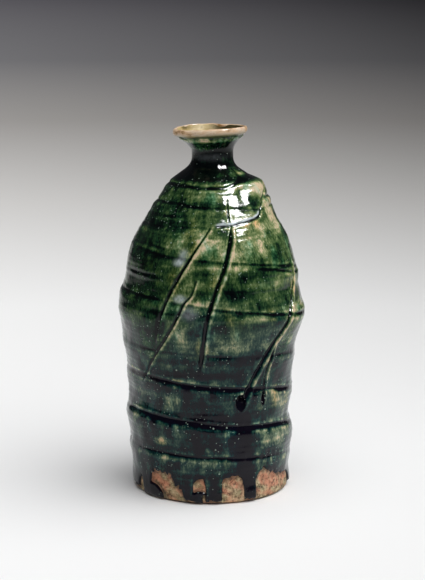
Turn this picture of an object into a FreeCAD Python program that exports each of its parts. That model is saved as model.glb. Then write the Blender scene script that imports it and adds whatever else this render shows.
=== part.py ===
"""Sake bottle: a thrown and luted stoneware bottle under a copper-green glaze.

The bottle stands on its foot with +Z up and its origin at the centre of the foot's flat face.
Its front is -Y, and angles round it are counted in degrees from the front towards +X.

As it would come apart before firing, it is two thrown body sections luted together at the belly, a
neck with a dished mouth luted on top, a lap of clay over a slit in the shoulder, the slip in both
joints, the green glaze outside and the clear glaze that lines the mouth and throat.
"""

import FreeCAD, Part
import os
from math import radians, sqrt
from types import SimpleNamespace

import Sketcher
from FreeCAD import Placement, Rotation, Vector

PARTS_FOLDER = "parts"

# Driving dimensions in millimetres, which the sheet holds.  A name that ends in _r is a radius from
# the bottle's axis, one in _z a height above the foot's face, one in _arc the radius of a round
# stretch of an outline, and one in _deg an angle.
DIMENSIONS = {
    # outside of the clay, from the foot up
    "foot_r": 49.0,
    "foot_bevel": 1.2,
    "foot_arc": 235.0,
    "waist_r": 51.5,
    "waist_z": 55.0,
    "flare_arc": 205.0,
    "belly_r": 58.6,
    "belly_z": 114.2,
    "chest_arc": 240.0,
    "chest_r": 49.2,
    "chest_z": 160.0,
    "shoulder_arc": 260.0,
    "collar_r": 26.6,
    "collar_z": 196.2,
    "skirt_step": 0.7,
    "skirt_r": 16.6,
    "skirt_z": 205.0,
    "neck_arc": 9.0,
    "neck_r": 12.4,
    "neck_z": 211.6,
    "neck_top_z": 217.6,
    "dish_arc": 18.0,
    "dish_r": 20.8,
    "dish_z": 226.0,
    "lip_arc": 3.2,
    "lip_r": 22.3,
    "lip_z": 229.4,
    "lip_top_arc": 2.6,
    "lip_inner_r": 19.4,
    "height": 231.5,
    # inside of the clay
    "lower_wall": 5.6,
    "upper_wall": 5.0,
    "floor_thick": 7.5,
    "floor_arc": 9.0,
    "collar_wall": 6.0,
    "throat_r": 8.5,
    "throat_z": 209.0,
    "throat_top_z": 222.0,
    "throat_flare_arc": 20.0,
    "inner_dish_arc": 15.0,
    # slip and glazes
    "slip": 0.6,
    "green_glaze": 0.8,
    "clear_glaze": 0.5,
    "hem_z": 2.2,
    # lap of clay on the shoulder, the proud part of an ellipsoid that is sunk in it
    "lap_r": 18.5,
    "lap_z": 186.2,
    "lap_half_height": 16.8,
    "lap_half_length": 21.9,
    "lap_deg": 85.0,
}

# Where the glaze stopped short of the foot, as (angle, half width in degrees, height).
GLAZE_WINDOWS = [
    (-68, 2.2, 15.0),
    (-36, 10.5, 17.5),
    (-9, 4.2, 17.0),
    (17, 7.5, 18.5),
    (55, 14.0, 17.0),
    (98, 9.0, 13.0),
    (134, 6.0, 17.5),
    (171, 12.0, 15.5),
    (216, 7.5, 18.0),
    (252, 5.0, 12.5),
]
WINDOW_INNER_R = 44.0  # where a window's cutter starts, inside the wall
WINDOW_DEPTH = 15.0


class Size:
    """A length that carries its number and the expression that binds it to the sheet."""

    def __init__(self, value, text):
        self.value = value
        self.text = text

    def __add__(self, other):
        return Size(self.value + other.value, f"{self.text} + {other.text}")

    def __sub__(self, other):
        return Size(self.value - other.value, f"{self.text} - ({other.text})")


ZERO = Size(0.0, "0")
dim = SimpleNamespace(**{alias: Size(value, f"dimensions.{alias}") for alias, value in DIMENSIONS.items()})


def make_sheet(doc):
    sheet = doc.addObject("Spreadsheet::Sheet", "dimensions")
    for row, (alias, value) in enumerate(DIMENSIONS.items(), start=1):
        sheet.set(f"A{row}", alias)
        sheet.set(f"B{row}", str(value))
        sheet.setAlias(f"B{row}", alias)
    doc.recompute()


# ---------------------------------------------------------------- turned bodies
#
# An outline is a closed list of corners, taken anticlockwise in (radius, height).  A corner may end
# with the bend of the edge that leaves it: out() bulges out of the material and into() bulges into it.


def out(radius):
    return (radius, 1)


def into(radius):
    return (radius, -1)


def bent_edge(start, end, radius, side):
    """The arc from start to end that bulges to the right of the way for side 1, to the left for -1."""
    chord = end - start
    left = Vector(-chord.y, chord.x, 0).normalize()
    centre = start + chord * 0.5 + left * (side * sqrt(radius**2 - chord.Length**2 / 4))
    return Part.Arc(start, centre - left * (side * radius), end)


def bind(sketch, constraint, expression):
    index = sketch.addConstraint(constraint)
    sketch.setExpression(f"Constraints[{index}]", expression)


def draw_outline(sketch, corners):
    points = [Vector(corner[0].value, corner[1].value, 0) for corner in corners]
    starts = []
    for edge, corner in enumerate(corners):
        start = points[edge]
        end = points[(edge + 1) % len(points)]
        side = 1
        if len(corner) == 3:
            radius, side = corner[2]
            sketch.addGeometry(bent_edge(start, end, radius.value, side))
        else:
            sketch.addGeometry(Part.LineSegment(start, end))
        # A sketch turns every arc anticlockwise, so one that bends the other way starts at its end 2.
        starts.append(1 if side == 1 else 2)
    for edge, corner in enumerate(corners):
        following = (edge + 1) % len(corners)
        joint = (edge, 3 - starts[edge], following, starts[following])
        sketch.addConstraint(Sketcher.Constraint("Coincident", *joint))
        for kind, axis, length in (("DistanceX", -2, corner[0]), ("DistanceY", -1, corner[1])):
            here = (edge, starts[edge])
            if length is ZERO:
                sketch.addConstraint(Sketcher.Constraint("PointOnObject", *here, axis))
            else:
                bind(sketch, Sketcher.Constraint(kind, -1, 1, *here, length.value), length.text)
        if len(corner) == 3:
            radius = corner[2][0]
            bind(sketch, Sketcher.Constraint("Radius", edge, radius.value), radius.text)


def turned_body(doc, name, corners):
    """A body turned all the way round the bottle's axis from an outline."""
    body = doc.addObject("PartDesign::Body", name)
    sketch = body.newObject("Sketcher::SketchObject", f"{name}_outline")
    plane = next(feature for feature in body.Origin.OriginFeatures if feature.Role == "XZ_Plane")
    sketch.AttachmentSupport = [(plane, "")]
    sketch.MapMode = "FlatFace"
    draw_outline(sketch, corners)
    turned = body.newObject("PartDesign::Revolution", f"{name}_turned")
    turned.Profile = sketch
    turned.ReferenceAxis = (sketch, ["V_Axis"])
    turned.Angle = 360
    doc.recompute()
    return body


def cut(doc, name, base, tool):
    made = doc.addObject("Part::Cut", name)
    made.Base = base
    made.Tool = tool
    doc.recompute()
    return made


def fuse(doc, name, shapes):
    made = doc.addObject("Part::MultiFuse", name)
    made.Shapes = shapes
    doc.recompute()
    return made


# ---------------------------------------------------------------- the outer skin


def body_skin(grow):
    """The outer skin from the waist to the collar, grown along the radius by a glaze."""
    return [
        (dim.waist_r + grow, dim.waist_z, into(dim.flare_arc)),
        (dim.belly_r + grow, dim.belly_z),
        (dim.belly_r + grow, dim.belly_z + dim.slip, out(dim.chest_arc)),
        (dim.chest_r + grow, dim.chest_z, out(dim.shoulder_arc)),
        (dim.collar_r + grow, dim.collar_z),
        (dim.collar_r + grow, dim.collar_z + dim.slip),
    ]


def neck_skin(grow):
    """The outer skin from the neck's skirt to the lip, grown along the radius by a glaze."""
    return [
        (dim.collar_r + dim.skirt_step + grow, dim.collar_z + dim.slip),
        (dim.skirt_r + grow, dim.skirt_z, into(dim.neck_arc)),
        (dim.neck_r + grow, dim.neck_z),
        (dim.neck_r + grow, dim.neck_top_z, into(dim.dish_arc)),
        (dim.dish_r + grow, dim.dish_z),
    ]


def space_in_skin(doc, name, grow, foot_z):
    """Everything inside the outer skin, from a height at the foot up to the lip."""
    foot = (dim.foot_r + grow, foot_z, out(dim.foot_arc))
    corners = [(ZERO, foot_z), foot, *body_skin(grow), *neck_skin(grow), (ZERO, dim.dish_z)]
    return turned_body(doc, name, corners)


# ---------------------------------------------------------------- the clay pieces


def throw_lower_body(doc, name):
    """The open pot that the bottle stands on, from its foot to the seam at the belly."""
    inner_foot_r = dim.foot_r - dim.lower_wall
    corners = [
        (ZERO, ZERO),
        (dim.foot_r - dim.foot_bevel, ZERO),
        (dim.foot_r, dim.foot_bevel, out(dim.foot_arc)),
        (dim.waist_r, dim.waist_z, into(dim.flare_arc)),
        (dim.belly_r, dim.belly_z),
        (dim.belly_r - dim.lower_wall, dim.belly_z, out(dim.flare_arc)),
        (dim.waist_r - dim.lower_wall, dim.waist_z, into(dim.foot_arc)),
        (inner_foot_r, dim.floor_thick + dim.floor_arc, into(dim.floor_arc)),
        (inner_foot_r - dim.floor_arc, dim.floor_thick),
        (ZERO, dim.floor_thick),
    ]
    return turned_body(doc, name, corners)


def throw_upper_body(doc, name):
    """The shoulder section, from the seam at the belly up to the collar."""
    corners = [
        (dim.belly_r, dim.belly_z + dim.slip, out(dim.chest_arc)),
        (dim.chest_r, dim.chest_z, out(dim.shoulder_arc)),
        (dim.collar_r, dim.collar_z),
        (dim.collar_r - dim.collar_wall, dim.collar_z, into(dim.shoulder_arc)),
        (dim.chest_r - dim.upper_wall, dim.chest_z, into(dim.chest_arc)),
        (dim.belly_r - dim.lower_wall, dim.belly_z + dim.slip),
    ]
    return turned_body(doc, name, corners)


def throw_neck(doc, name):
    """The neck, with its skirt below and its dished, thick-lipped mouth above."""
    *skin, (dish_r, dish_z) = neck_skin(ZERO)
    corners = [
        *skin,
        (dish_r, dish_z, out(dim.lip_arc)),
        (dim.lip_r, dim.lip_z, out(dim.lip_top_arc)),
        (dim.lip_inner_r + dim.lip_top_arc, dim.height, out(dim.lip_top_arc)),
        (dim.lip_inner_r, dim.lip_z, into(dim.inner_dish_arc)),
        (dim.throat_r, dim.throat_top_z),
        (dim.throat_r, dim.throat_z, out(dim.throat_flare_arc)),
        (dim.collar_r - dim.collar_wall, dim.collar_z + dim.slip),
    ]
    return turned_body(doc, name, corners)


def slip_ring(doc, name, outer_r, wall, low_z):
    """The ring of slip that lutes two clay edges together."""
    high_z = low_z + dim.slip
    corners = [(outer_r - wall, low_z), (outer_r, low_z), (outer_r, high_z), (outer_r - wall, high_z)]
    return turned_body(doc, name, corners)


def lap_ellipsoid(doc, name, grow):
    """The ellipsoid that the lap on the shoulder is the proud part of, grown all over by a glaze."""
    lump = doc.addObject("Part::Ellipsoid", name)
    lump.setExpression("Radius1", (dim.lap_half_height + grow).text)
    lump.setExpression("Radius2", (dim.lap_half_height + grow).text)
    lump.setExpression("Radius3", (dim.lap_half_length + grow).text)
    turn = Rotation(Vector(0, 0, 1), dim.lap_deg.value - 90)
    lump.Placement = Placement(turn.multVec(Vector(dim.lap_r.value, 0, dim.lap_z.value)), turn)
    return lump


# ---------------------------------------------------------------- windows


def glaze_windows(doc, name):
    """The arched openings in the glaze's lower edge, each a bar with a round top and a block below it."""
    bars = []
    for number, (angle, half_width, height) in enumerate(GLAZE_WINDOWS, start=1):
        radius = dim.waist_r.value * radians(half_width)
        turn = Rotation(Vector(0, 0, 1), angle - 90)
        arch = doc.addObject("Part::Cylinder", f"window_{number}_arch")
        arch.Radius = radius
        arch.Height = WINDOW_DEPTH
        arch_middle = Vector(WINDOW_INNER_R, 0, height - radius)
        arch.Placement = Placement(turn.multVec(arch_middle), turn * Rotation(Vector(0, 1, 0), 90))
        block = doc.addObject("Part::Box", f"window_{number}_block")
        block.Length = WINDOW_DEPTH
        block.Width = 2 * radius
        block.Height = height - radius
        block.Placement = Placement(turn.multVec(Vector(WINDOW_INNER_R, -radius, 0)), turn)
        bars += [arch, block]
    return fuse(doc, name, bars)


# ---------------------------------------------------------------- the glazes


def coat_outside(doc, name, clay, lap, windows):
    """The green glaze over the clay and the lap, with the windows left open at the foot."""
    glazed_space = space_in_skin(doc, "glazed_space", dim.green_glaze, dim.hem_z)
    glazed_lap = lap_ellipsoid(doc, "glazed_lap", dim.green_glaze)
    shell = cut(doc, "glaze_shell", fuse(doc, "glazed_lump", [glazed_space, glazed_lap]), clay)
    return cut(doc, name, cut(doc, "glaze_round_lap", shell, lap), windows)


def line_mouth(doc, name):
    """The clear glaze that lines the dish of the mouth and the throat."""
    glaze = dim.clear_glaze
    corners = [
        (dim.throat_r - glaze, dim.throat_z),
        (dim.throat_r, dim.throat_z),
        (dim.throat_r, dim.throat_top_z, out(dim.inner_dish_arc)),
        (dim.lip_inner_r, dim.lip_z),
        (dim.lip_inner_r - glaze, dim.lip_z + glaze, into(dim.inner_dish_arc)),
        (dim.throat_r - glaze, dim.throat_top_z + glaze),
    ]
    return turned_body(doc, name, corners)


# ---------------------------------------------------------------- the bottle


def make_bottle(doc):
    """All the sub-parts, in the order they are put together."""
    clay_space = space_in_skin(doc, "clay_space", ZERO, dim.foot_bevel)
    lap_lump = lap_ellipsoid(doc, "lap_lump", ZERO)
    return [
        throw_lower_body(doc, "lower_body"),
        slip_ring(doc, "belly_luting_slip", dim.belly_r, dim.lower_wall, dim.belly_z),
        throw_upper_body(doc, "upper_body"),
        slip_ring(doc, "neck_luting_slip", dim.collar_r, dim.collar_wall, dim.collar_z),
        throw_neck(doc, "neck_and_mouth"),
        cut(doc, "shoulder_lap", lap_lump, clay_space),
        coat_outside(doc, "outer_glaze_coat", clay_space, lap_lump, glaze_windows(doc, "windows")),
        line_mouth(doc, "mouth_glaze_lining"),
    ]


def check_document(doc, nodes):
    for item in doc.Objects:
        if "Invalid" in item.State or "Error" in item.State:
            raise RuntimeError(f"{item.Label} did not compute: {item.State}")
    for node in nodes:
        if node.Shape.isNull() or not node.Shape.isValid():
            raise RuntimeError(f"{node.Label} has no valid shape")


doc = FreeCAD.newDocument("sake_bottle")
make_sheet(doc)
nodes = make_bottle(doc)
doc.recompute()
check_document(doc, nodes)
os.makedirs(PARTS_FOLDER, exist_ok=True)
for node in nodes:
    node.Shape.exportStep(f"{PARTS_FOLDER}/{node.Label}.step")
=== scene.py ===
"""Looks of the sake bottle: its thrown, luted, scored and glazed surface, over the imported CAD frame.

Sizes in tables are millimetres and degrees.  Angles are counted from the front (-Y) towards +X.
The wall is described by maps over angle and height: how far it stands out, how thick its glaze is,
and how dark that glaze looks.  Every piece of clay or glaze takes its surface from those maps.
"""

import bpy
import numpy as np
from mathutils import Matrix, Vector
from mathutils.bvhtree import BVHTree


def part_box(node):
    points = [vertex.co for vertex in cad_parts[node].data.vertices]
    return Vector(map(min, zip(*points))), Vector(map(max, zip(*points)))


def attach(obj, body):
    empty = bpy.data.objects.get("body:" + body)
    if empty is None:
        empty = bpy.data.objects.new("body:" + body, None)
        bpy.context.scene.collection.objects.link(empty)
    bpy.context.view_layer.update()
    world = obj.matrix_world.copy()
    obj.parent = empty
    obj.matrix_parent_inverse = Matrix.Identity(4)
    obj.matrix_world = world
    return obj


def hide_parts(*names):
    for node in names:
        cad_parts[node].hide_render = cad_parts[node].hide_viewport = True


MM = 0.001
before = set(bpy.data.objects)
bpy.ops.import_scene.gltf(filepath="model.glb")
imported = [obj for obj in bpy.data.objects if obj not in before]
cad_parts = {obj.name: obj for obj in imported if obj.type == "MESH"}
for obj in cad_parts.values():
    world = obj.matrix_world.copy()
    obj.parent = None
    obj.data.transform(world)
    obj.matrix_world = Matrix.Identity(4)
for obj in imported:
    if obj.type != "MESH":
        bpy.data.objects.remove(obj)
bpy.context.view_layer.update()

# ---------------------------------------------------------------- what the potter left on the wall

# The throwing groove winds down the wall once a turn: (angle counted on through the turns, height, depth).
SPIRAL = [
    (60, 171, 0.0), (180, 165, 0.4), (300, 158.5, 0.5), (352, 154.5, 0.6), (372, 153.5, 0.9),
    (394, 151.5, 0.9), (426, 147, 1.0), (540, 138.5, 0.7), (648, 131, 0.9), (684, 130.5, 0.9),
    (714, 127, 0.7), (735, 124, 0.9), (777, 118.5, 1.3), (900, 107, 0.8), (1004, 99.5, 0.6),
    (1088, 96, 0.6), (1144, 92, 0.6), (1260, 86, 1.0), (1364, 80, 1.4), (1389, 81, 1.6),
    (1403, 80, 1.6), (1419, 78, 1.6), (1432, 77, 1.6), (1452, 75, 1.6), (1475, 73.5, 1.6),
    (1508, 68.5, 1.6), (1522, 66, 1.4), (1620, 61, 1.2), (1726, 55.5, 1.4), (1747, 56.5, 1.6),
    (1762, 55, 1.7), (1778, 54, 1.7), (1792, 53, 1.7), (1806, 51.5, 1.7), (1827, 49.5, 1.7),
    (1845, 48.5, 1.6), (1867, 46, 1.6), (1880, 43.5, 1.3), (1980, 37.5, 0.9), (2094, 31.5, 0.9),
    (2113, 32.5, 1.0), (2145, 31.5, 1.1), (2166, 31, 1.1), (2187, 30, 1.0), (2233, 25.5, 0.6),
    (2340, 17, 0.3), (2460, 10, 0.0),
]
# Short throwing rings higher up, as stations of (angle, height) with a depth.
RINGS = [
    (0.8, [
        (-180, 185), (-68, 186.5), (-38, 186.5), (-15, 185), (5, 184.5), (25, 183.5), (48, 182.5),
        (180, 185),
    ]),
    (0.6, [
        (-110, 180), (-75, 179.5), (-47, 179), (-30, 179.5), (-18, 179.5),
    ]),
    (0.5, [
        (-100, 172), (-59, 172.5), (-22, 173.5), (2, 173.5),
    ]),
    (0.5, [
        (-88, 161), (-50, 161.5), (-30, 160),
    ]),
    (0.8, [
        (24, 149.5), (47, 147), (64, 143.5), (84, 141),
    ]),
    (0.4, [
        (-74, 144.5), (-44, 144), (-34, 143.5),
    ]),
    (1.0, [
        (-180, 196), (-63, 197), (-41, 197), (-15, 196), (1, 196), (17, 196), (30, 197.5), (44, 199.5),
        (65, 201), (90, 202), (130, 200.5), (155, 198), (180, 196),
    ]),
]
# Lines drawn by a spatula: depth, half width, burr on the right edge, how soon they are full width,
# and stations of (angle, height).
SCORES = [
    (1.5, 1.15, 0.7, 0.45, [
        (-1, 173.5), (-12, 160), (-19.5, 148.5), (-25, 139), (-29.5, 129.5), (-33, 119.5), (-36, 110),
        (-38, 103),
    ]),
    (1.2, 1.0, 1.2, 0.45, [
        (-10, 142.5), (-12.5, 134), (-17.5, 129), (-20, 123), (-24, 115), (-30, 106), (-40, 93.5),
        (-48, 83), (-53, 76),
    ]),
    (1.7, 1.3, 0.8, 0.12, [
        (16.5, 174), (15, 167), (10.5, 155.5), (7, 146), (2.5, 136), (-1, 126), (-3.5, 116.5),
        (-5, 106), (-6.5, 95), (-8.5, 85),
    ]),
    (1.1, 0.75, 0.3, 0.1, [
        (74, 192.5), (65.5, 189.5), (57.5, 186), (52, 181.5), (47, 179), (42, 177.5), (33, 176.5),
        (25, 175.5), (17.5, 174.5), (8.5, 174.5), (2, 174),
    ]),
    (1.6, 1.5, 0.9, 0.6, [
        (70, 150), (70, 142), (65, 133), (59, 124), (54, 116.5), (49, 108.5), (44.5, 102), (37, 92),
        (31, 82.5), (25.5, 73), (22, 67), (20, 63.5),
    ]),
    (1.1, 0.9, 0.8, 0.3, [
        (46, 99), (44, 93), (40.5, 84.5), (39.5, 74), (38.5, 65),
    ]),
    (0.8, 0.5, 0.0, 0.3, [
        (18, 189.5), (16.5, 185), (15.5, 180.5), (15.5, 177), (16, 174.5),
    ]),
]
LAP_LINE = 3  # the line that is the lap's lower edge
GOUGED_LINE = 4  # the line that widens towards a gouge
# Gouges, filled with dark glaze, where two of the lines end: angle, height, half width, half height, depth.
GOUGES = [(20.4, 65.2, 3.7, 5.4, 3.4), (38.7, 66.0, 1.8, 4.2, 2.4)]
# The lower edge of the glaze, where bare clay shows below it.
HEM = [
    (-180, 11), (-176, 8), (-174, 2), (-152, 2), (-150, 13), (-144, 18), (-138, 14), (-136, 2),
    (-114, 2), (-112, 9), (-108, 12.5), (-104, 9), (-102, 3), (-76, 3), (-66, 3.5), (-63.5, 10),
    (-61, 12), (-58, 3), (-50, 2.5), (-49, 12), (-47.5, 17), (-43, 19), (-38, 18.5), (-31, 17.5),
    (-27.5, 11.5), (-22.5, 9), (-19.5, 2), (-13.5, 2), (-13, 12.5), (-10, 16.5), (-6, 17), (-4.5, 13.5),
    (-4, 2), (7.5, 2), (8, 14.5), (10, 17.5), (17.5, 18.5), (22.5, 16.5), (24, 11), (24.5, 2), (34, 2),
    (34.5, 15), (36.5, 18), (40.5, 21), (44, 18.5), (48, 17), (57.5, 13.5), (70.5, 12), (76, 10),
    (79, 3), (88, 3), (90, 10), (98, 13), (105, 9), (107, 2.5), (127, 2), (129, 12), (134, 17),
    (139, 13), (141, 2), (158, 2), (160, 11), (168, 15.5), (178, 13), (180, 11),
]
# Pools of glaze at the foot, and a scrape through one: angle, height, half width, half height, sign.
PUDDLES = [
    (-48, 2.5, 10, 7.5, 1), (-8.5, 4.5, 5.5, 4.2, 1), (-5.4, 3.6, 1.1, 3.0, -1), (-102, 3, 8, 5, 1),
    (132, 3, 7, 4, 1), (-145, 5, 4, 3, 1),
]
# Where the thrown wall swells or sinks: angle, height, half width, half height, amount.
LUMPS = [
    (-95, 136, 70, 10, -1.5), (92, 133, 45, 4, -1.0), (90, 117, 60, 5, 2.0), (-90, 117, 60, 4, 0.5),
    (150, 50, 60, 40, 0.5), (40, 4, 70, 8, 0.7), (90, 18, 60, 14, -1.6),
]
# Where the glaze ran thin (positive) or pooled dark (negative): angle, height, half width, half height,
# and amount. Not all are the glaze: the wide pale band at height 101 and the pale spot at the left near
# height 72 are painted sheen, and the two dark spots at the upper left near height 145 are painted shade.
PATCHES = [
    (-27, 65, 5.5, 6.5, 0.36), (-37, 39.5, 7, 4, 0.5), (44, 38, 8, 5.5, 0.3), (48, 65.5, 10, 6, 0.3),
    (60, 43, 9, 7, 0.24), (-3, 35.7, 2, 1.8, 0.5), (50, 71.5, 10, 2.4, 0.2), (60, 57, 9, 7, 0.3),
    (-60, 60, 8, 12, 0.16), (60, 30, 8, 6, 0.26), (-60, 42, 6, 6, 0.18), (-5, 25, 2.5, 7, 0.2),
    (-34, 28, 2.5, 5, 0.24), (-7, 165, 4, 6, 0.3), (-11, 157.5, 3, 6, 0.34), (-16, 145, 4, 9, 0.32),
    (-10, 130, 4, 3.4, 0.36), (-19, 112, 5, 8, 0.38), (17.5, 150, 2.6, 3, 0.26), (15, 158, 30, 4, 0.16),
    (66, 181.5, 5, 5, 0.5), (79, 187, 6, 5, 0.5), (62, 194, 9, 5, 0.32), (46, 173, 9, 2.4, 0.34),
    (-1, 167, 10, 5, 0.3), (42, 163, 22, 9, 0.16), (52, 168, 12, 5, 0.18), (68, 203.4, 5, 1.0, 0.45),
    (4, 148, 6, 20, 0.1), (30, 184, 16, 8, 0.08), (27, 158, 10, 9, 0.12), (74, 174, 8, 8, 0.34),
    (52, 197, 14, 5, 0.24), (67, 177, 5, 7, 0.34), (28, 168, 14, 4, 0.18), (70, 141, 2.6, 10, 0.34),
    (65.5, 128, 2.6, 7, 0.42), (61, 119, 3.6, 7, 0.44), (53, 108, 2.4, 6, 0.34), (47, 97, 2, 6, 0.34),
    (42.5, 85, 1.6, 7, 0.34), (0, 101, 60, 9, 0.14), (23, 42, 6, 22, -0.75), (25, 16, 6, 14, -0.65),
    (-17, 8, 3.5, 10, -0.45), (2, 8, 6, 10, -0.4), (-54, 10, 6, 9, -0.4), (-8, 109.8, 2.2, 1.0, -0.5),
    (-8, 83.5, 26, 3.4, -0.26), (-2, 57, 16, 6, -0.26), (-30, 54, 10, 3, -0.2), (-62, 72, 11, 6, 0.16),
    (-63, 79, 13, 1.2, -0.45), (-62, 82, 13, 0.9, 0.3), (-16, 64, 7, 7, -0.16), (-4, 62, 6, 8, -0.12),
    (8, 70, 26, 3, -0.14), (-6, 38, 16, 5, -0.18), (-66, 88, 9, 6, 0.16), (50, 199.6, 6.5, 1.6, -0.55),
    (-5, 30, 16, 2.4, -0.12), (-66, 145, 14, 24, -0.14), (-48, 146, 16, 22, -0.16),
    (-40, 186, 20, 4, -0.1), (28, 66, 7, 8, -0.2), (-6, 92, 26, 3.0, -0.4), (20, 92, 14, 3, -0.3),
    (-34, 112, 3, 11, -0.4), (-45, 62, 5, 12, -0.1), (-5, 46, 12, 5, -0.14), (-20, 75, 14, 3, -0.26),
    (140, 60, 20, 20, 0.14), (-150, 70, 14, 22, 0.16), (-110, 46, 12, 16, 0.12),
    (170, 40, 16, 14, -0.14), (110, 30, 10, 24, -0.2), (150, 150, 20, 14, 0.12),
    (16, 133, 20, 5, -0.16), (30, 118, 18, 5, 0.12), (-14, 226, 4, 3, 0.4), (-44, 225, 3, 3, 0.4),
]
# Milky, pinkish spots of painted reflection on the glaze, in the same form.
PAINTED_REFLECTION_SPOTS = [
    (-20, 158, 3, 3, 0.4), (-22.5, 153.2, 3.6, 2, 0.7), (-20, 131.6, 4, 2.2, 0.7), (-14, 123, 6, 4, 0.25),
]
# How far the lap swells out over the right shoulder, by height.
LAP_SWELL = [
    (174, 0), (180, 1.2), (184, 2.6), (187, 3.6), (188.5, 2.6), (190.5, 4.0), (193.4, 5.0), (196, 5.4),
    (198, 4.8), (200, 2.8), (202, 1.4), (205, 0.4), (208, 0),
]
# How far the middle of the bottle lies off its axis towards +X, by height.
SWAY = [
    (0, 0), (15, -0.5), (36, 0.1), (44, -1.6), (50, -2.9), (58, -1.6), (66, -0.8), (74, -1.4),
    (84, -0.9), (100, -1.0), (112, -0.2), (128, -0.6), (150, 0), (196, 0), (208, 0.6), (218, 0.6),
    (228, -0.9),
]


def smooth(low, high, x):
    t = np.clip((x - low) / (high - low), 0, 1)
    return t * t * (3 - 2 * t)


def bell(x, width):
    return np.exp(-((x / width) ** 2))


def turned_angle(a):
    return (a + 180) % 360 - 180


def along(pairs, x):
    xs, ys = zip(*pairs)
    return np.interp(x, xs, ys)


def blurred(rows, sigma, axis):
    """A Gaussian blur in cells, which wraps round the angle axis and holds its ends on the height axis."""
    reach = int(3 * sigma + 1)
    weights = np.exp(-0.5 * (np.arange(-reach, reach + 1) / sigma) ** 2)
    weights /= weights.sum()
    pad = [(0, 0)] * rows.ndim
    pad[axis] = (reach, reach)
    wide = np.pad(rows, pad, mode="wrap" if axis == 1 else "edge")
    count = rows.shape[axis]
    return sum(w * np.take(wide, np.arange(i, i + count), axis=axis) for i, w in enumerate(weights))


def ripple(phi, z, size, seed, waves=14, stretch=1.0):
    """Smooth unevenness of about unit height with bumps of a size in mm, seamless round the bottle."""
    rng = np.random.default_rng(seed)
    total = 0
    for _ in range(waves):
        turns = rng.integers(1, max(2, int(330 / size)))
        slope = rng.normal() * 2 * np.pi / (size * stretch * 1.6)
        round_about = np.radians(phi) * turns * rng.choice([-1, 1])
        total = total + np.cos(round_about + z * slope + rng.uniform(0, 2 * np.pi))
    return total / np.sqrt(waves / 2)


# ---------------------------------------------------------------- the plain wall, from the CAD nodes

PROBE_ANGLE = 198  # an angle at the back where nothing is added to the turned clay


def node_surface(*names):
    trees = []
    for name in names:
        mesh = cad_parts[name].data
        mesh.calc_loop_triangles()
        corners = [v.co for v in mesh.vertices]
        trees.append(BVHTree.FromPolygons(corners, [t.vertices for t in mesh.loop_triangles]))
    return trees


def wall_radii(trees, heights, outside):
    """Radii in mm of the outermost or innermost skin at each height."""
    out = np.array([np.sin(np.radians(PROBE_ANGLE)), -np.cos(np.radians(PROBE_ANGLE)), 0.0])
    found = []
    for z in heights:
        start = out * 0.2 * outside + np.array([0, 0, z * MM])
        way = Vector(out * (-1 if outside else 1))
        hits = [tree.ray_cast(Vector(start), way)[0] for tree in trees]
        radii = [np.hypot(hit.x, hit.y) / MM for hit in hits if hit is not None]
        found.append((max(radii) if outside else min(radii)) if radii else np.nan)
    found = np.array(found)
    good = ~np.isnan(found)
    return np.interp(heights, np.array(heights)[good], found[good])


STEP = 0.5  # height of a map cell
COLUMNS = 720
GLAZE_TOP = 226.0
map_z = np.arange(0, GLAZE_TOP + 2, STEP)
map_phi = -180 + 360 * np.arange(COLUMNS) / COLUMNS
PHI, Z = np.meshgrid(map_phi, map_z)
clay = node_surface("lower_body", "belly_luting_slip", "upper_body", "neck_luting_slip", "neck_and_mouth")
raw_wall = wall_radii(clay, np.clip(map_z, 0.05, GLAZE_TOP - 0.05), True)
soft_wall = blurred(raw_wall[:, None], 5 / STEP, 0)[:, 0]
firm_wall = blurred(raw_wall[:, None], 1 / STEP, 0)[:, 0]
blend = smooth(8, 16, map_z) * (1 - smooth(184, 194, map_z))
wall = soft_wall * blend + firm_wall * (1 - blend)
wall = np.where(map_z < 4, raw_wall, wall)
WALL = wall[:, None] + 0 * PHI
inner_wall = wall_radii(node_surface("lower_body", "upper_body", "neck_and_mouth"), map_z, False)

sway = blurred(along(SWAY, map_z)[:, None], 2 / STEP, 0)[:, 0]
PHI = PHI + np.degrees(sway / 52)[:, None]  # marks keep their place when the wall sways under them

# ---------------------------------------------------------------- the maps


def spot(angle, height, half_w, half_h):
    """How far inside an oval spot each map cell lies: 1 in the middle, 0 on its edge."""
    across = turned_angle(PHI - angle) * WALL / 52 / half_w
    return 1 - across**2 - ((Z - height) / half_h) ** 2


def to_line(stations):
    """Signed distance in mm to a smooth line through the stations, and how far along it, over the maps."""
    phi, z = np.array(stations, float).T
    knots = np.arange(len(phi))
    fine = np.linspace(0, len(phi) - 1, 24 * len(phi))
    line = np.stack([np.interp(fine, knots, phi), np.interp(fine, knots, z)])
    kernel = np.hanning(31) / np.hanning(31).sum()
    padded = np.pad(line, ((0, 0), (15, 15)), mode="reflect", reflect_type="odd")
    phi, z = (np.convolve(track, kernel, mode="valid") for track in padded)
    best = np.full(PHI.shape, 1e9)
    side = np.zeros(PHI.shape)
    place = np.zeros(PHI.shape)
    radians_mm = np.radians(1) * WALL
    for i in range(len(phi)):
        rows = slice(max(0, int((z[i] - 9) / STEP)), int((z[i] + 9) / STEP) + 1)
        dx = turned_angle(PHI[rows] - phi[i]) * radians_mm[rows]
        dz = Z[rows] - z[i]
        gap = np.hypot(dx, dz)
        ahead = min(i + 1, len(phi) - 1)
        behind = max(i - 1, 0)
        run = np.array([(phi[ahead] - phi[behind]) * 0.9, z[ahead] - z[behind]])
        normal = np.array([-run[1], run[0]]) / np.hypot(*run)
        nearer = gap < best[rows]
        best[rows] = np.where(nearer, gap, best[rows])
        side[rows] = np.where(nearer, dx * normal[0] + dz * normal[1], side[rows])
        place[rows] = np.where(nearer, i / (len(phi) - 1), place[rows])
    return best * np.where(side < 0, -1, 1), place


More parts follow.
